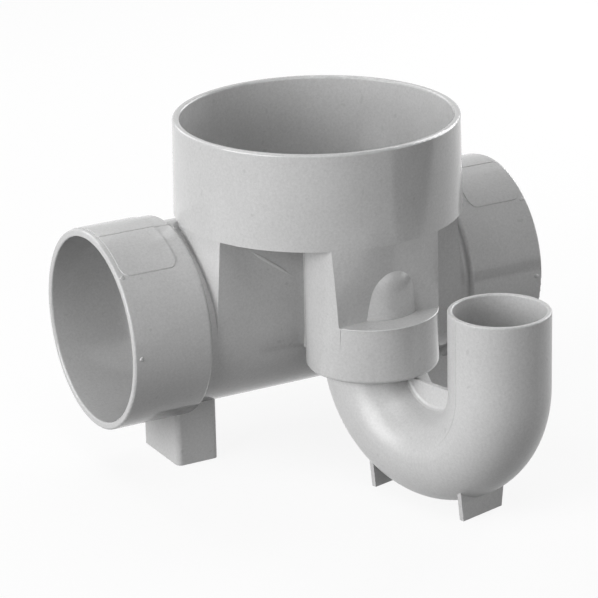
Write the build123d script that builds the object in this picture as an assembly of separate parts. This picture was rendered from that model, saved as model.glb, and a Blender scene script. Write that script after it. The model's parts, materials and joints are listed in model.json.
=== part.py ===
from build123d import *
from math import cos, radians, sin, tan
import os

# Gully trap in grey rigid PVC: a run of pipe with a riser socket on top, a trap socket at its side
# and a loose U-bend that plugs into it. Sizes in millimetres. The origin is the centre of the riser
# socket's mouth, +Z is up, +X is along the run and -Y is the side that carries the trap.

# Riser socket, open upwards, for a pipe of nominal size 150
riser_bore_r = 82.75
riser_wall = 4.4
riser_height = 58.6
riser_depth = 54.0
riser_flare = 1.2
pipe_stop_step = 1.4

# Run, for pipes of nominal size 100, set back from the riser's axis
run_drop = 120.5
run_back = 29.7
pipe_r = 57.0
pipe_wall = 3.5
run_half_length = 142.3
socket_clearance = 0.3
socket_wall = 4.4
socket_length = 52.0
socket_depth = 50.0

# Lower chamber between the riser and the run
skirt_set_in = 2.15
skirt_spread_x = 4.1
skirt_spread_y = 0.3
skirt_wall = 4.8
side_wall = 4.0

# Trap socket, open downwards, and the column above it
trap_y = -63.7
trap_socket_wall = 3.9
trap_mouth_below_run = 18.9
ledge_above_run = 15.2
ledge_plate = 4.0
trap_stop_width = 2.56
column_wall = 4.0
column_reach = 17.6
front_hollow = 4.3
weir_above_run = 27.0
weir_corner_r = 6.0
throat_width = 52.0

# Arched bump on the front of the column, which keeps the way through full bore
bump_r = 26.4
bump_x = 3.0
bump_back = 2.3
bump_straight = 13.8

# U-bend, pipe of nominal size 50
bend_r = 52.5
tube_r = 30.0
tube_wall = 3.0
crotch_drop = 5.6
bend_steps = 8
bend_centre_below_run = 6.5
inlet_above_run = 40.0
trap_turn = 14.2
spigot_step = 6.0
spigot_clearance = 0.06
spigot_end_gap = 0.3
spigot_wall = 3.0
spigot_foot_above_mouth = 2.8
web_thickness = 3.0
web_below_mouth = 1.2
fin_thickness = 3.0
fin_half_width = 16.2
fin_draft = 7.0
fin_front_reach = 38.9
fin_rear_reach = 37.4

# Feet under the run
ground_below_run = 90.8
foot_set_in = 43.7
foot_length = 28.0
foot_width = 47.6
foot_wall = 3.5
foot_corner_r = 3.4

# Label pads on the run sockets
pad_rise = 0.6
pad_length = 36.5
pad_width = 84.0
pad_inset = 3.5
pad_corner_r = 5.0

# Edge rounding
rim_round = 1.3
socket_round = 1.1
tube_round = 0.9
shoulder_round = 2.5
shoulder_foot_round = 2.0
trap_mouth_round = 2.4

# Heights and places worked out from the sizes above
run_z = -run_drop
under_z = -riser_height
shelf_z = -riser_depth
ledge_z = run_z + ledge_above_run
plate_z = ledge_z - ledge_plate
trap_mouth_z = run_z - trap_mouth_below_run
weir_z = run_z + weir_above_run
ground_z = run_z - ground_below_run
bend_z = run_z - bend_centre_below_run
inlet_z = run_z + inlet_above_run
riser_top_r = riser_bore_r + riser_wall
riser_foot_r = riser_top_r + riser_flare
skirt_top_r = riser_foot_r - skirt_set_in
skirt_foot_rx = skirt_top_r + skirt_spread_x
skirt_foot_ry = skirt_top_r + skirt_spread_y
side_y = run_back - pipe_r
socket_bore_r = pipe_r + socket_clearance
socket_r = socket_bore_r + socket_wall
spigot_r = tube_r + spigot_step
trap_bore_r = spigot_r + spigot_clearance
trap_stop_r = trap_bore_r - trap_stop_width
trap_socket_r = trap_bore_r + trap_socket_wall
front_flat_y = trap_y - column_reach
bump_y = trap_y + bump_back
past = 1.0
tiny = 0.001


def upright(radius, z0, z1, x=0.0, y=0.0):
    """Cylinder on a vertical axis between two heights."""
    return Pos(x, y, (z0 + z1) / 2) * Cylinder(radius, z1 - z0)


def lying(radius, x0, x1):
    """Cylinder on the run's axis between two places along it."""
    return Pos((x0 + x1) / 2, run_back, run_z) * Rot(0, 90, 0) * Cylinder(radius, x1 - x0)


def block(x0, x1, y0, y1, z0, z1):
    """Box between three pairs of limits."""
    return Pos((x0 + x1) / 2, (y0 + y1) / 2, (z0 + z1) / 2) * Box(x1 - x0, y1 - y0, z1 - z0)


def skirt(inset, z_top, front_y):
    """Chamber wall: round at the riser, leaning out along the run as it goes down, cut flat in front."""
    lean = (skirt_foot_rx - skirt_top_r) / (under_z - run_z)
    top_r = skirt_top_r - inset - lean * (z_top - under_z)
    top = Plane.XY.offset(z_top) * Circle(top_r)
    foot = Plane.XY.offset(run_z) * Ellipse(skirt_foot_rx - inset, skirt_foot_ry - inset)
    reach = skirt_foot_rx + past
    keep = block(-reach, reach, front_y, reach, run_z - past, z_top + past)
    return loft([foot, top]) & keep


def front_limit(inset, z_top):
    """Room behind the column's front wall: round at the riser, hollowed and set in at the ledge."""
    half = trap_socket_r + past
    round_r = riser_foot_r - inset
    round_end_y = -(round_r**2 - half**2) ** 0.5
    hollow_y = front_flat_y + inset

    def section(z, end_y, middle_y):
        front = ThreePointArc((-half, end_y), (0, middle_y), (half, end_y))
        back = Polyline((half, end_y), (half, 0), (-half, 0), (-half, end_y))
        return Plane.XY.offset(z) * make_face(front + back)

    low = section(ledge_z, hollow_y - front_hollow, hollow_y)
    high = section(under_z, round_end_y, -round_r)
    room = loft([low, high], ruled=True)
    if z_top > under_z:
        room += upright(round_r, under_z, z_top) & block(-half, half, -round_r, 0, under_z, z_top)
    return room


def bump(radius, z0):
    """Upright round bar with a domed top, whose front makes the arched bump."""
    dome_z = ledge_z + bump_straight
    return upright(radius, z0, dome_z, bump_x, bump_y) + Pos(bump_x, bump_y, dome_z) * Sphere(radius)


def riser_shell():
    """Riser socket wall, flaring a little to its lower edge."""
    return Pos(0, 0, -riser_height / 2) * Cone(riser_foot_r, riser_top_r, riser_height)


def column():
    """Trap socket and the column above it, up to the riser."""
    socket = upright(trap_socket_r, trap_mouth_z, ledge_z, y=trap_y)
    rounded = socket.edges().filter_by(GeomType.CIRCLE).sort_by(Axis.Z)[0]
    socket = fillet(rounded, trap_mouth_round)
    shaft = upright(trap_socket_r, ledge_z, under_z, y=trap_y) & front_limit(0, under_z)
    half = throat_width / 2
    foot_z = trap_mouth_z + trap_mouth_round
    throat = block(-half, half, trap_y, side_y + side_wall / 2, foot_z, under_z)
    return socket + shaft + throat + bump(bump_r, ledge_z - past)


def foot(side):
    """Box foot under one end of the run, hollow from below with a rib across its middle."""
    x_out = side * (run_half_length - foot_set_in)
    x0, x1 = sorted((x_out, x_out - side * foot_length))
    y0 = run_back - foot_width / 2
    y1 = run_back + foot_width / 2
    body = block(x0, x1, y0, y1, ground_z, run_z - pipe_r / 2)
    body = fillet(body.edges().filter_by(Axis.Z), foot_corner_r)
    pocket_y = (foot_width - 3 * foot_wall) / 2
    roof = run_z - socket_r - foot_wall
    for start in (y0 + foot_wall, y0 + 2 * foot_wall + pocket_y):
        body -= block(x0 + foot_wall, x1 - foot_wall, start, start + pocket_y, ground_z - past, roof)
    return body


def run_shell():
    """Run pipe with its two sockets, all outside surfaces, with an S-shaped shoulder behind each socket."""
    shell = lying(pipe_r, -run_half_length, run_half_length)
    for side in (-1, 1):
        inner_end = side * (run_half_length - socket_length)
        x0, x1 = sorted((side * run_half_length, inner_end))
        barrel = lying(socket_r, x0, x1)
        shell += fillet(circles(barrel, Axis.X, inner_end), shoulder_round)
        shell = fillet(circles(shell, Axis.X, inner_end), shoulder_foot_round)
    return shell


def label_pads():
    """Low raised pads on the tops of the two run sockets."""
    pads = Part()
    raised = lying(socket_r + pad_rise, -run_half_length, run_half_length)
    for side in (-1, 1):
        outer = side * (run_half_length - pad_inset)
        x0, x1 = sorted((outer, outer - side * pad_length))
        y0 = run_back - pad_width / 2
        outline = block(x0, x1, y0, y0 + pad_width, run_z, run_z + 2 * socket_r)
        pads += raised & fillet(outline.edges().filter_by(Axis.Z), pad_corner_r)
    return pads


def shaft_core():
    """Room inside the column, from the stop ring up into the riser."""
    inside = upright(trap_socket_r - column_wall, ledge_z, shelf_z + past, y=trap_y)
    inside &= front_limit(column_wall, shelf_z + past)
    ring = upright(trap_stop_r, plate_z - past, ledge_z + past, y=trap_y)
    ring &= block(-trap_stop_r, trap_stop_r, front_flat_y + column_wall, 0, plate_z - past, ledge_z + past)
    return inside + ring + bump(bump_r - column_wall, plate_z - past)


def weir_core():
    """Opening above the weir, between the column and the chamber."""
    half = throat_width / 2 - column_wall
    opening = block(-half, half, trap_y, side_y + side_wall + past, weir_z, shelf_z + past)
    low = opening.edges().filter_by(Axis.Y).group_by(Axis.Z)[0]
    return fillet(low, weir_corner_r)


def water_way():
    """Everything that is hollow in the body."""
    core = upright(riser_bore_r, shelf_z, past)
    core += skirt(skirt_wall, under_z, side_y + side_wall)
    z0 = under_z - past
    z1 = shelf_z + past
    neck = upright(riser_bore_r - pipe_stop_step, z0, z1)
    core += neck & block(-riser_bore_r, riser_bore_r, side_y + side_wall, riser_bore_r, z0, z1)
    core += lying(pipe_r - pipe_wall, -run_half_length - past, run_half_length + past)
    for side in (-1, 1):
        x0, x1 = sorted((side * (run_half_length + past), side * (run_half_length - socket_depth)))
        core += lying(socket_bore_r, x0, x1)
    core += upright(trap_bore_r, trap_mouth_z - past, plate_z, y=trap_y)
    return core + shaft_core() + weir_core()


def circles(body, axis, place):
    """Round edges that lie square to an axis at one place along it."""
    return body.edges().filter_by(GeomType.CIRCLE).filter_by_position(axis, place - tiny, place + tiny)


def chamber_body():
    """The one-piece body: riser, chamber, run, column, trap socket and feet."""
    body = riser_shell() + skirt(0, under_z, side_y) + run_shell() + label_pads() + column()
    body += foot(-1)
    body += foot(1)
    body -= water_way()
    body = fillet(circles(body, Axis.Z, 0), rim_round)
    for side in (-1, 1):
        body = fillet(circles(body, Axis.X, side * run_half_length), socket_round)
    return body


def bend_section(turn, radius):
    """Section of the bend at a turn from its spigot end: round outside, drawn in towards the crotch."""
    a = radians(turn)
    place = (bend_r - bend_r * cos(a), 0, bend_z - bend_r * sin(a))
    across = Plane(origin=place, x_dir=(-cos(a), 0, -sin(a)), z_dir=(sin(a), 0, -cos(a)))
    outside = CenterArc((0, 0), radius, -90, 180)
    inside = EllipticalCenterArc((0, 0), radius - crotch_drop * sin(a), radius, 90, arc_size=180)
    return across * make_face(outside + inside)


def tube(radius, z_spigot, z_inlet):
    """U-shaped bar: the bend with its two upright legs, with the trap's axis at x = 0."""
    bend = loft([bend_section(180 * step / bend_steps, radius) for step in range(bend_steps + 1)])
    return bend + upright(radius, bend_z, z_spigot) + upright(radius, bend_z, z_inlet, x=2 * bend_r)


def fin(x0):
    """Upright blade across the bend, from the ground up into the tube, wider towards the top."""
    height = bend_z - bend_r / 2 - ground_z
    spread = fin_half_width + height * tan(radians(fin_draft))
    corners = (-fin_half_width, 0), (fin_half_width, 0), (spread, height), (-spread, height)
    across = Plane(origin=(x0, 0, ground_z), x_dir=(0, 1, 0), z_dir=(1, 0, 0))
    return extrude(across * Polygon(*corners, align=None), fin_thickness)


def u_trap():
    """The loose U-bend: spigot cup, bend, inlet leg, web in the crotch and two fins for feet."""
    cup_z0 = trap_mouth_z + spigot_foot_above_mouth
    cup_z1 = plate_z - spigot_end_gap
    web_top = trap_mouth_z - web_below_mouth
    body = tube(tube_r, cup_z1, inlet_z) + upright(spigot_r, cup_z0, cup_z1)
    body += block(0, 2 * bend_r, -web_thickness / 2, web_thickness / 2, bend_z - bend_r, web_top)
    body += fin(bend_r - fin_rear_reach) + fin(bend_r + fin_front_reach - fin_thickness)
    body -= tube(tube_r - tube_wall, cup_z1, inlet_z + past)
    body -= upright(spigot_r - spigot_wall, cup_z0 + spigot_wall, cup_z1 + past)
    body = fillet(circles(body, Axis.Z, inlet_z), tube_round)
    return Pos(0, trap_y, 0) * Rot(0, 0, trap_turn - 90) * body


nodes = {
    "chamber_body": chamber_body,
    "u_trap": u_trap,
}

os.makedirs("parts", exist_ok=True)
for name, make in nodes.items():
    export_step(make(), f"parts/{name}.step")
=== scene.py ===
import json
import math

import bpy
import numpy as np
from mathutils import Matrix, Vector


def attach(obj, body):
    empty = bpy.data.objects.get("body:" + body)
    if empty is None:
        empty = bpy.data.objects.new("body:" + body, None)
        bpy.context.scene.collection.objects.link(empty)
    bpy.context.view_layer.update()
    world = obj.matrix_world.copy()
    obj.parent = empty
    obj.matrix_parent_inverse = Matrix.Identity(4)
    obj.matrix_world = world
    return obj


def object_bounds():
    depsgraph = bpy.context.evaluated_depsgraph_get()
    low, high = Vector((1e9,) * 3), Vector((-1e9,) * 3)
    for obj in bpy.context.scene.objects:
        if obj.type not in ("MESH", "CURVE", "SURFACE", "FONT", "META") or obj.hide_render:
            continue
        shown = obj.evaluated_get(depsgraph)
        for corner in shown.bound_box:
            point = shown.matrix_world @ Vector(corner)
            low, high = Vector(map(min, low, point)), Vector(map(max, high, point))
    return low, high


# Gully trap in grey rigid PVC, seen on a pale floor in soft studio light. The two mouldings come
# from the CAD frame. This script gives them their surface, adds the small marks of moulding, and
# gives the arched bump its full front. Lengths are in millimetres unless a comment says metres, and
# become metres where a mesh or the camera is made.

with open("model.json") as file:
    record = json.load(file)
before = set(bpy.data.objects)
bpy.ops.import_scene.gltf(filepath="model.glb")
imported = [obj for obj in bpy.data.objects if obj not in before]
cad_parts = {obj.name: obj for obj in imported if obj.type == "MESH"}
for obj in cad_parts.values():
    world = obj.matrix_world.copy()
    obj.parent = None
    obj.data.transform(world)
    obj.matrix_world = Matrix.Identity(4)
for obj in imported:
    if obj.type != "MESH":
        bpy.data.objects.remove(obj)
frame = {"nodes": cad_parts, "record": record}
cad_low, cad_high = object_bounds()

MM = 0.001
UP = np.array([0, 0, 1.0])
mounts = {mount["name"]: mount for mount in frame["record"]["mounts"]}
swivel = frame["record"]["behaviour"]["joints"][0]


def in_mm(metres):
    """Lengths of the frame in millimetres, to the hundredth that its record keeps."""
    return np.round(np.array(metres) / MM, 2)


# Run: its axis, its two sockets with a label pad on each, and the pipe between them
run_y, run_z = in_mm(mounts["run_outlet"]["pos_m"])[1:]
socket_wall, socket_length = 4.4, 52.0
socket_r = mounts["run_outlet"]["dims"]["r_mm"] + socket_wall
socket_mouth_x = in_mm(cad_high)[0]
shoulder_x = socket_mouth_x - socket_length
shoulder_round, shoulder_foot_round = 2.5, 2.0
neck_end_x = shoulder_x - 5.8
pipe_r = 57.0
pad_rise, pad_from_mouth, pad_length = 0.6, 3.5, 36.5
pad_outer_x = socket_mouth_x - pad_from_mouth
pad_inner_x = pad_outer_x - pad_length
side_wall_y = run_y - pipe_r
ground_z = in_mm(cad_low)[2]

# Trap: its swivel, the heading of its inlet leg in degrees from straight out, and its bend
trap_y = in_mm(swivel["pos_m"])[1]
inlet_x, inlet_y = in_mm(mounts["trap_inlet"]["pos_m"])[:2]
trap_heading = round(math.degrees(math.atan2(inlet_x, trap_y - inlet_y)), 2)
bend_r = round(math.hypot(inlet_x, trap_y - inlet_y) / 2, 2)
tube_r = mounts["trap_inlet"]["dims"]["r_mm"]
inlet_z = -80.5
bend_z = inlet_z - mounts["trap_inlet"]["dims"]["length_mm"]
crotch_drop = 5.6
web_half = 1.5

# Trap socket with its ledge, and above it the sloping front wall with the arched bump
trap_socket_r = 39.96
ledge_z = -105.3
front_foot_y, front_lean = -81.5, 0.143
bump_x, bump_y, bump_r = 3.0, trap_y + 2.3, 26.4
bump_spring_z, bump_dome = ledge_z + 13.8, 36.8


# Camera

def place_camera(position, yaw, pitch, roll, focal_px, frame_px=598, sensor=36.0):
    """Camera from a heading, a tilt and a roll in radians: its axes are the columns of the turn."""
    ahead = np.array([math.cos(pitch) * math.sin(yaw), math.cos(pitch) * math.cos(yaw), math.sin(pitch)])
    right = np.cross(ahead, UP)
    right /= np.linalg.norm(right)
    up = np.cross(right, ahead)
    c, s = math.cos(roll), math.sin(roll)
    right, up = c * right + s * up, c * up - s * right
    data = bpy.data.cameras.new("camera")
    data.sensor_width = sensor
    data.lens = focal_px / frame_px * sensor
    data.clip_start, data.clip_end = 0.01, 100
    camera = bpy.data.objects.new("camera", data)
    bpy.context.scene.collection.objects.link(camera)
    matrix = np.eye(4)
    matrix[:3] = np.stack([right, up, -ahead, np.array(position) * MM], 1)
    camera.matrix_world = matrix.T.tolist()
    return camera


bpy.context.scene.camera = place_camera(
    (-843.66, -1532.85, 510.40), yaw=0.49571, pitch=-0.34521, roll=-0.02371, focal_px=3013.8)


# Materials

def linear(code):
    """sRGB hex colour as linear red, green, blue and alpha."""
    values = [int(code[i:i + 2], 16) / 255 for i in (1, 3, 5)]
    return [v / 12.92 if v <= 0.04045 else ((v + 0.055) / 1.055) ** 2.4 for v in values] + [1.0]


WHITE = linear("#ffffff")


def add(tree, kind, inputs=None, **settings):
    """Adds a node with its settings; an input is a value, or another node's output to link."""
    node = tree.nodes.new(kind)
    for name, value in settings.items():
        setattr(node, name, value)
    for name, value in (inputs or {}).items():
        socket = node.inputs[name]
        if isinstance(value, bpy.types.NodeSocket):
            tree.links.new(value, socket)
        else:
            socket.default_value = value
    return node


def per_feature(size_mm):
    """Noise scale that makes one blotch about as wide as the given size in millimetres."""
    return 1000.0 / size_mm


def empty_material(name):
    """Material with a cleared node tree."""
    material = bpy.data.materials.new(name)
    material.use_nodes = True
    material.node_tree.nodes.clear()
    return material, material.node_tree


def pvc(name, light, dark, seed, satin):
    """Unplasticised PVC, injection moulded: a skin that mirrors the studio softly, with faint flow
    clouds where the melt cooled at different speeds, a fine grain, a few dark specks of filler, and
    hairline handling scratches. Satin is the roughness that the mould gave it."""
    cloud_mm, speck_mm, hair_mm, peel_mm = 55.0, 4.0, 9.0, 2.6
    # The real grain is under 1 mm, and is drawn at the finest that shows in the picture
    grain_mm = 1.5
    # How much each pattern says in the colour, in the roughness and in the relief
    cloud_tone, grain_tone, speck_tone = 0.45, 0.85, 0.35
    cloud_rough, hair_rough = 0.10, 0.12
    cloud_height, hair_height = 3.0, -0.25
    relief_mm, relief_strength = 0.15, 0.22
    material, tree = empty_material(name)
    place = add(tree, "ShaderNodeTexCoord").outputs["Object"]
    place = add(tree, "ShaderNodeMapping", {
        "Vector": place, "Location": (seed, seed * 0.7, -seed)}).outputs[0]
    cloud = add(tree, "ShaderNodeTexNoise", {
        "Vector": place, "Scale": per_feature(cloud_mm), "Detail": 3.0, "Roughness": 0.5}).outputs["Fac"]
    grain = add(tree, "ShaderNodeTexNoise", {
        "Vector": place, "Scale": per_feature(grain_mm), "Detail": 3.0, "Roughness": 0.75}).outputs["Fac"]
    speck = add(tree, "ShaderNodeTexNoise", {
        "Vector": place, "Scale": per_feature(speck_mm), "Detail": 0.0}).outputs["Fac"]
    speck = add(tree, "ShaderNodeMapRange", {
        "Value": speck, "From Min": 0.80, "From Max": 0.88, "To Max": speck_tone}).outputs[0]
    tone = add(tree, "ShaderNodeMath", {0: cloud, 1: cloud_tone}, operation="MULTIPLY").outputs[0]
    tone = add(tree, "ShaderNodeMath", {
        0: grain, 1: grain_tone, 2: tone}, operation="MULTIPLY_ADD").outputs[0]
    tone = add(tree, "ShaderNodeMath", {0: tone, 1: speck}, operation="SUBTRACT").outputs[0]
    ramp = add(tree, "ShaderNodeValToRGB", {"Fac": tone})
    for stop, position, code in zip(ramp.color_ramp.elements, (0.40, 0.90), (dark, light)):
        stop.position, stop.color = position, linear(code)
    # Hairlines: noise nine times as long along the run as across it, its own grid turned out of line
    slant = add(tree, "ShaderNodeMapping", {
        "Vector": place, "Rotation": (0.5, 0.3, 0.9), "Scale": (1.0, 9.0, 9.0)}).outputs[0]
    hair = add(tree, "ShaderNodeTexNoise", {
        "Vector": slant, "Scale": per_feature(hair_mm), "Detail": 4.0, "Roughness": 0.75}).outputs["Fac"]
    hair = add(tree, "ShaderNodeMapRange", {
        "Value": hair, "From Min": 0.60, "From Max": 0.78}).outputs[0]
    rough = add(tree, "ShaderNodeMath", {
        0: cloud, 1: cloud_rough, 2: satin}, operation="MULTIPLY_ADD").outputs[0]
    rough = add(tree, "ShaderNodeMath", {
        0: hair, 1: hair_rough, 2: rough}, operation="MULTIPLY_ADD").outputs[0]
    # Relief: a faint orange peel over the clouds' slow swell, with the hairlines cut in
    peel = add(tree, "ShaderNodeTexNoise", {
        "Vector": place, "Scale": per_feature(peel_mm), "Detail": 2.0, "Roughness": 0.5}).outputs["Fac"]
    relief = add(tree, "ShaderNodeMath", {
        0: hair, 1: hair_height, 2: peel}, operation="MULTIPLY_ADD").outputs[0]
    relief = add(tree, "ShaderNodeMath", {
        0: cloud, 1: cloud_height, 2: relief}, operation="MULTIPLY_ADD").outputs[0]
    normal = add(tree, "ShaderNodeBump", {
        "Height": relief, "Strength": relief_strength, "Distance": relief_mm * MM}).outputs["Normal"]
    shader = add(tree, "ShaderNodeBsdfPrincipled", {
        "Base Color": ramp.outputs["Color"], "Roughness": rough, "IOR": 1.53, "Normal": normal})
    add(tree, "ShaderNodeOutputMaterial", {"Surface": shader.outputs[0]})
    return material


# The body left a polished mould; the trap, with its slide, a duller one
body_pvc = pvc("moulded_pvc_body", "#cbcbcb", "#b6b6b6", seed=0.0, satin=0.08)
trap_pvc = pvc("moulded_pvc_trap", "#cfcfcf", "#bababa", seed=3.1, satin=0.30)

for node, material in (("chamber_body", body_pvc), ("u_trap", trap_pvc)):
    for slot in frame["nodes"][node].material_slots:
        slot.material = material


# Surfaces for the marks of moulding

def skin(name, rings, body, material):
    """Closed surface over rings of points, ring by ring, with a middle point closing each end."""
    rings = np.asarray(rings, float)
    count, around = rings.shape[:2]
    points = np.concatenate([rings.reshape(-1, 3), rings[[0, -1]].mean(1)]) * MM
    i, j = np.meshgrid(np.arange(count - 1), np.arange(around), indexing="ij")
    k = (j + 1) % around
    quads = np.stack([i * around + j, (i + 1) * around + j, (i + 1) * around + k, i * around + k], -1)
    j = np.arange(around)
    k = (j + 1) % around
    first, last = count * around, count * around + 1
    caps = [np.stack([np.full(around, first), j, k], 1),
            np.stack([np.full(around, last), (count - 1) * around + k, (count - 1) * around + j], 1)]
    mesh = bpy.data.meshes.new(name)
    mesh.from_pydata(points.tolist(), [], quads.reshape(-1, 4).tolist() + np.concatenate(caps).tolist())
    mesh.shade_smooth()
    mesh.materials.append(material)
    piece = bpy.data.objects.new(name, mesh)
    bpy.context.scene.collection.objects.link(piece)
    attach(piece, body)


def on_body(name, rings):
    """Mark on the chamber's moulding."""
    skin(name, rings, "body", body_pvc)


def on_trap(name, rings):
    """Mark on the trap's moulding."""
    skin(name, rings, "trap", trap_pvc)


def carried(path, out, profile, width=1.0, height=1.0):
    """Rings of a profile carried along a path: its first column runs sideways, along the path's
    direction crossed with out, and its second column runs along out."""
    path, out = np.asarray(path, float), np.asarray(out, float)
    side = np.cross(np.gradient(path, axis=0), out)
    side /= np.linalg.norm(side, axis=1, keepdims=True)
    width = np.broadcast_to(width, len(path))[:, None, None]
    height = np.broadcast_to(height, len(path))[:, None, None]
    sideways = side[:, None] * profile[None, :, :1] * width
    return path[:, None] + sideways + out[:, None] * profile[None, :, 1:] * height


def oval(steps=14, lean=0.0):
    """Ellipse of width 1 and height 1 above and below the surface, its top pushed sideways by lean."""
    turn = np.linspace(0, 2 * np.pi, steps, endpoint=False)
    return np.stack([0.5 * np.cos(turn) + lean * np.sin(turn), np.sin(turn)], 1)


def faded(count, head, tail, least=0.02):
    """1 in the middle, easing to the least size over the shares head and tail of the length."""
    t = np.linspace(0, 1, count)
    rise = np.clip(np.minimum(t / head, (1 - t) / tail), 0, 1)
    return least + (1 - least) * np.sin(rise * np.pi / 2) ** 1.5


def quarter(steps):
    """Sine and cosine over a quarter of a turn."""
    a = np.linspace(0, np.pi / 2, steps)
    return np.sin(a), np.cos(a)


# Marks on the run sockets

sides = ((-1, "left"), (1, "right"))


def run_seam(side, degrees, steps=160, from_mouth=0.9, pad_slope=0.2):
    """Line along a run socket, over its pad and shoulder to the neck, at an angle in front of the
    top: distance from the middle and radius from straight runs and the two shoulder arcs."""
    s, c = quarter(steps=8)
    convex = np.stack([shoulder_x + shoulder_round * (1 - s),
                       socket_r - shoulder_round * (1 - c)], 1)
    concave = np.stack([shoulder_x - shoulder_foot_round * (1 - c),
                        pipe_r + shoulder_foot_round * (1 - s)], 1)
    pad_r = socket_r + pad_rise
    pad = [(socket_mouth_x - from_mouth, socket_r),
           (pad_outer_x + pad_slope, socket_r), (pad_outer_x - pad_slope, pad_r),
           (pad_inner_x + pad_slope, pad_r), (pad_inner_x - pad_slope, socket_r)]
    line = np.concatenate([pad, convex, concave, [(neck_end_x, pipe_r)]])
    reach = np.r_[0, np.cumsum(np.linalg.norm(np.diff(line, axis=0), axis=1))]
    even = np.linspace(0, reach[-1], steps)
    line = np.stack([np.interp(even, reach, line[:, 0]), np.interp(even, reach, line[:, 1])], 1)
    step = np.gradient(line, axis=0)
    normal = np.stack([step[:, 1], -step[:, 0]], 1)
    normal /= np.linalg.norm(normal, axis=1, keepdims=True)
    f = math.radians(degrees)

    def about_run(v, y, z):
        return np.stack([side * v[:, 0], y - v[:, 1] * math.sin(f), z + v[:, 1] * math.cos(f)], 1)

    return about_run(line, run_y, run_z), about_run(normal, 0.0, 0.0)


for side, label in sides:
    path, out = run_seam(side, degrees=9.0)
    fade = faded(len(path), head=0.02, tail=0.1)
    on_body("run_seam_" + label, carried(path, out, oval(), width=0.9 * fade, height=0.34 * fade))


def nub(side, from_mouth, degrees, length, width, height, pointed=0.3, heavy=0.35, sunk=0.15):
    """Drop-shaped nub on a run socket near its mouth: rings about its middle, from its top to its
    foot, narrowest and highest towards the mouth, laid on the socket's curve."""
    shares, turns = np.linspace(0.06, 0.97, 9), np.linspace(0, 2 * np.pi, 20, endpoint=False)
    share, turn = np.meshgrid(shares, turns, indexing="ij")
    r = np.sin(share * np.pi / 2)
    along = r * np.cos(turn) * length / 2
    across = r * np.sin(turn) * width / 2 * (1 - pointed * np.cos(turn))
    rise = socket_r + height * np.sqrt(1 - r ** 2) * (1 + heavy * r * np.cos(turn)) - sunk
    f = math.radians(degrees) + across / socket_r
    x = socket_mouth_x - from_mouth + along
    rings = np.stack([side * x, run_y - rise * np.sin(f), run_z + rise * np.cos(f)], -1)
    return rings[:, ::-1] if side > 0 else rings


for side, label in sides:
    on_body("nub_high_" + label, nub(side, from_mouth=3.0, degrees=43.0, length=3.8, width=2.8, height=0.9))
    on_body("nub_low_" + label, nub(side, from_mouth=4.3, degrees=90.0, length=3.2, width=3.0, height=0.9))


# Marks on the trap

f = math.radians(trap_heading)
along_trap = np.array([math.sin(f), -math.cos(f), 0.0])
across_trap = np.array([math.cos(f), math.sin(f), 0.0])
halves = ((-1, "a"), (1, "b"))


def in_trap(along, across, z, start=(0.0, trap_y, 0.0)):
    """From distances along and across the trap's plane to the shared frame."""
    return np.array(start) + along[:, None] * along_trap + across[:, None] * across_trap + z[:, None] * UP


def trap_direction(along, across, z):
    """Direction in the shared frame from its parts along and across the trap's plane."""
    return in_trap(along, across, z, start=(0.0, 0.0, 0.0))


def slide_seam(side, degrees=104.0, last=66.0, leg_steps=40, bend_steps=49, from_rim=1.2):
    """Line that the mould's slide left on the trap: down the inlet leg and round the inside of the
    bend, where the section is an ellipse whose inner half-axis shrinks with the sine of the turn."""
    c, s = math.cos(math.radians(degrees)), math.sin(math.radians(degrees))
    turns = np.radians(np.r_[np.zeros(leg_steps), np.linspace(0, last, bend_steps + 1)[1:]])
    z = np.r_[np.linspace(inlet_z - from_rim, bend_z, leg_steps), np.full(bend_steps, bend_z)]
    half = tube_r - crotch_drop * np.sin(turns)
    reach = bend_r + half * c
    across = np.full(len(turns), side * tube_r * s)
    path = in_trap(bend_r + reach * np.cos(turns), across, z - reach * np.sin(turns))
    inward, sideways = c / half, s / tube_r
    size = np.hypot(inward, sideways)
    inward, sideways = inward / size, side * sideways / size
    return path, trap_direction(inward * np.cos(turns), sideways, -inward * np.sin(turns))


for side, label in halves:
    path, out = slide_seam(side)
    fade = faded(len(path), head=0.02, tail=0.45)
    on_trap("slide_seam_" + label, carried(path, out, oval(), width=0.8 * fade, height=0.26 * fade))


def web_fillet(side, radius=1.8, let_in=0.3, sunk=0.4, first=33.0, last=147.0, steps=60):
    """Hollow fillet at the foot of the web: a quarter of a circle between the web's face and the
    crotch, carried round the crotch and let in a little below both. The two sides run opposite ways,
    so that each profile points away from the web."""
    turns = np.radians(np.linspace(first, last, steps))[::side]
    reach = bend_r - (tube_r - crotch_drop * np.sin(turns))
    across = np.full(steps, side * web_half)
    path = in_trap(bend_r + reach * np.cos(turns), across, bend_z - reach * np.sin(turns))
    out = trap_direction(-np.cos(turns), np.zeros(steps), np.sin(turns))
    s, c = quarter(steps=9)
    arc = np.stack([radius * (1 - c), radius * (1 - s)], 1)
    profile = np.concatenate([[(-let_in, -sunk), (radius, -sunk)], arc[::-1], [(-let_in, radius)]])
    fade = faded(steps, head=0.08, tail=0.08)
    return carried(path, out, profile, width=fade, height=fade)


for side, label in halves:
    on_trap("web_fillet_" + label, web_fillet(side))


# Marks on the trap socket, the flat side wall and the ledge

def straight_ridge(start, end, out, width, height, head, tail, lean=0.0, steps=40):
    """Low rounded ridge along a straight line on a wall, fading at its two ends."""
    share = np.linspace(0, 1, steps)[:, None]
    path = (1 - share) * np.array(start) + share * np.array(end)
    fade = faded(steps, head, tail)
    return carried(path, np.tile(out, (steps, 1)), oval(lean=lean), width * fade, height * fade)


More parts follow.
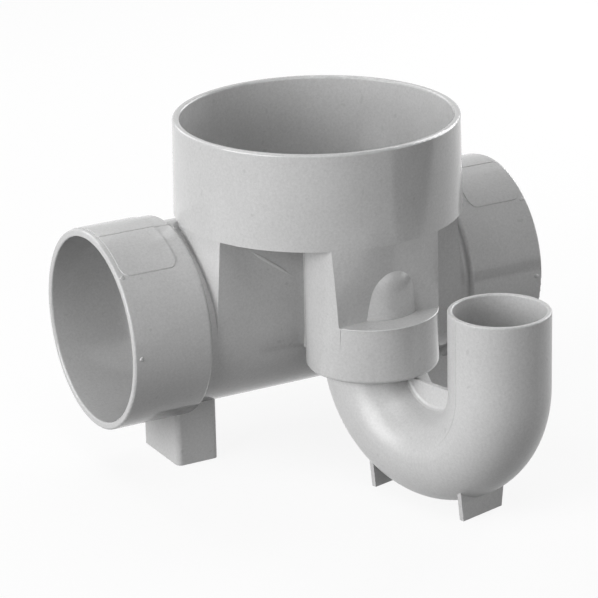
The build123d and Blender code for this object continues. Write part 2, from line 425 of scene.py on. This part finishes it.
def ledge_line(degrees=-58.0, below_ledge=0.4, length=13.6):
    """Witness line under the end of the ledge, straight down the trap socket."""
    f = math.radians(degrees)
    out = np.array([math.sin(f), -math.cos(f), 0.0])
    top = np.array([0, trap_y, ledge_z - below_ledge]) + trap_socket_r * out
    return straight_ridge(top, top - length * UP, out, width=0.8, height=0.28, head=0.04, tail=0.8)


def weld_line(start=(-61.5, -69.0), end=(-31.5, -91.2)):
    """Line where two streams of melt met on the flat side wall, steep on its upper side."""
    ends = [(x, side_wall_y, z) for x, z in (start, end)]
    return straight_ridge(*ends, out=(0, -1, 0), width=1.8, height=0.5, head=0.25, tail=0.45, lean=-0.4)


def ledge_edge(first=-57.0, last=78.0, inset=0.12, steps=90):
    """Rolled edge along the front of the ledge, where the trap socket's wall turns into its top: an
    arc about the socket's axis, proud at 45 degrees between out and up."""
    f = np.radians(np.linspace(first, last, steps))
    level = np.stack([np.sin(f), -np.cos(f), np.zeros(steps)], 1)
    path = np.array([0, trap_y, ledge_z - inset]) + (trap_socket_r - inset) * level
    fade = faded(steps, head=0.02, tail=0.04)
    return carried(path, (level + UP) / math.sqrt(2.0), oval(), width=1.1 * fade, height=0.3 * fade)


on_body("ledge_line", ledge_line())
on_body("weld_line", weld_line())
on_body("ledge_edge", ledge_edge())


# The bump

def bump_front(proud=0.12, let_in=1.6, below_ledge=0.5, edge_back=0.4, middle_back=1.6,
               rows=60, columns=61, tallest=60.0, levels=2000, least_half_squared=0.3):
    """Front of the arched bump, ring by ring from its top down: an upright round bar that ends in half
    an ellipsoid, cut off where it is let in to the sloping front wall, and closed a little behind."""
    low = ledge_z - below_ledge

    def section(z):
        """Radius of the bar or dome at a height, and the square of its half width at the wall."""
        rise = np.clip((z - bump_spring_z) / bump_dome, 0, 1)
        reach = (bump_r + proud) * np.sqrt(1 - rise ** 2)
        wall = bump_y - (front_foot_y - front_lean * (z - ledge_z)) - let_in
        return reach, reach ** 2 - wall ** 2

    # The top ring is at the highest level that has some width left
    z = np.linspace(low, low + tallest, levels)
    top = z[section(z)[1] > least_half_squared].max()
    z = low + (top - low) * np.sin(np.linspace(np.pi / 2, 0, rows))
    reach, half_squared = section(z)
    s = np.linspace(-1, 1, columns)
    x = np.sqrt(half_squared)[:, None] * s
    y = -np.sqrt(reach[:, None] ** 2 - x ** 2)
    front = np.stack([bump_x + x, bump_y + y, np.repeat(z[:, None], columns, 1)], -1)
    depth = edge_back + (middle_back - edge_back) * (1 - s ** 2)
    back = front + depth[:, None] * np.array([0, 1.0, 0])
    return np.concatenate([front, back[:, ::-1]], 1)


on_body("bump_front", bump_front())


# Floor, lamps and world, in metres

def shown(tree, to_camera, to_mirrors, to_others):
    """Shader by who looks: the camera, a ray that a gloss or a glass sends on, or any other ray."""
    ray = add(tree, "ShaderNodeLightPath").outputs
    mirrored = add(tree, "ShaderNodeMath", {
        0: ray["Is Glossy Ray"], 1: ray["Is Transmission Ray"]}, operation="MAXIMUM").outputs[0]
    seen = add(tree, "ShaderNodeMixShader", {
        0: ray["Is Camera Ray"], 1: to_others, 2: to_camera}).outputs[0]
    return add(tree, "ShaderNodeMixShader", {0: mirrored, 1: seen, 2: to_mirrors}).outputs[0]


def paper(name, code, bounce_code, edge, corner, glow=0.88, blur=0.01):
    """Matt paper floor. The camera sees it nearly white, under the object's shadow. Reflections see a
    painted white glow on it as far as its cut corner in front on the right, past which the glow stops
    and the object shows a painted dark reflection; each of the corner's two edges is a heading in
    degrees and a distance in metres. The light that the paper throws back up is that of a greyer sheet."""
    material, tree = empty_material(name)
    place = add(tree, "ShaderNodeTexCoord").outputs["Object"]
    past = []
    for heading, distance in (edge, corner):
        f = math.radians(heading)
        reach = add(tree, "ShaderNodeVectorMath", {0: place, 1: (math.sin(f), -math.cos(f), 0.0)},
                    operation="DOT_PRODUCT").outputs["Value"]
        past.append(add(tree, "ShaderNodeMapRange", {
            "Value": reach, "From Min": distance - blur, "From Max": distance + blur}).outputs[0])
    past = add(tree, "ShaderNodeMath", {0: past[0], 1: past[1]}, operation="MULTIPLY").outputs[0]
    left = add(tree, "ShaderNodeMath", {0: 1.0, 1: past}, operation="SUBTRACT").outputs[0]
    white = add(tree, "ShaderNodeEmission", {"Color": WHITE, "Strength": 1.0}).outputs[0]
    # Painted reflection: rays that a gloss sends on see the floor as a white glow, cut off past the corner,
    # so the object shows a dark reflection there
    painted_reflection = add(tree, "ShaderNodeEmission", {"Color": WHITE, "Strength": left}).outputs[0]
    sheet = add(tree, "ShaderNodeBsdfDiffuse", {"Color": linear(code)}).outputs[0]
    dull = add(tree, "ShaderNodeBsdfDiffuse", {"Color": linear(bounce_code)}).outputs[0]
    pale = add(tree, "ShaderNodeMixShader", {0: glow, 1: sheet, 2: white}).outputs[0]
    add(tree, "ShaderNodeOutputMaterial", {"Surface": shown(tree, pale, painted_reflection, dull)})
    return material


def disc(name, radius, z, steps=128):
    """Flat round floor: one fan of triangles about its centre."""
    turn = np.linspace(0, 2 * np.pi, steps, endpoint=False)
    ring = np.stack([radius * np.cos(turn), radius * np.sin(turn), np.full(steps, z)], 1)
    i = np.arange(steps)
    fan = np.stack([np.zeros(steps, int), i + 1, (i + 1) % steps + 1], 1)
    mesh = bpy.data.meshes.new(name)
    mesh.from_pydata([(0, 0, z), *ring.tolist()], [], fan.tolist())
    floor = bpy.data.objects.new(name, mesh)
    bpy.context.scene.collection.objects.link(floor)
    return floor


under_feet = 0.0002
floor = disc("paper_floor", radius=12.0, z=ground_z * MM - under_feet)
floor.data.materials.append(
    paper("white_paper", "#f6f6f6", "#5a5a5a", edge=(20.0, 0.493), corner=(122.8, -0.047)))


def softbox(name, azimuth, elevation, width, height, watts, distance=1.6, aim=(0.0, -0.02, -0.10)):
    """Flat lamp on a sphere about the object, turned to face it; azimuth 0 is in front, 90 on the
    right, and the low ones are flat enough to stand clear of the floor."""
    a, e = math.radians(azimuth), math.radians(elevation)
    away = np.array([math.sin(a) * math.cos(e), -math.cos(a) * math.cos(e), math.sin(e)])
    side = np.cross(UP, away)
    side /= np.linalg.norm(side)
    data = bpy.data.lights.new(name, "AREA")
    data.shape, data.size, data.size_y, data.energy = "RECTANGLE", width, height, watts
    lamp = bpy.data.objects.new(name, data)
    bpy.context.scene.collection.objects.link(lamp)
    matrix = np.eye(4)
    matrix[:3] = np.stack([side, np.cross(away, side), away, np.array(aim) + away * distance], 1)
    lamp.matrix_world = matrix.T.tolist()


softbox("key_left", azimuth=-84, elevation=15.5, width=1.4, height=1.0, watts=27.0)
softbox("fill_front", azimuth=0, elevation=10, width=1.0, height=0.75, watts=3.0)
softbox("fill_right", azimuth=66, elevation=10, width=1.0, height=0.75, watts=4.6)
softbox("rim_right", azimuth=112, elevation=24, width=1.0, height=1.0, watts=14.0)
softbox("rim_back", azimuth=180, elevation=40, width=1.0, height=1.0, watts=9.0)
softbox("top_front", azimuth=-30, elevation=64, width=1.0, height=1.0, watts=7.0)


def studio(name, ambient=0.01):
    """World that the camera and reflections see white, and that lights the object very little."""
    world = bpy.data.worlds.new(name)
    bpy.context.scene.world = world
    world.use_nodes = True
    tree = world.node_tree
    tree.nodes.clear()
    white = add(tree, "ShaderNodeBackground", {"Color": WHITE, "Strength": 1.0}).outputs[0]
    dim = add(tree, "ShaderNodeBackground", {"Color": WHITE, "Strength": ambient}).outputs[0]
    add(tree, "ShaderNodeOutputWorld", {"Surface": shown(tree, white, white, dim)})


studio("studio")

bpy.context.scene.view_settings.view_transform = "Standard"
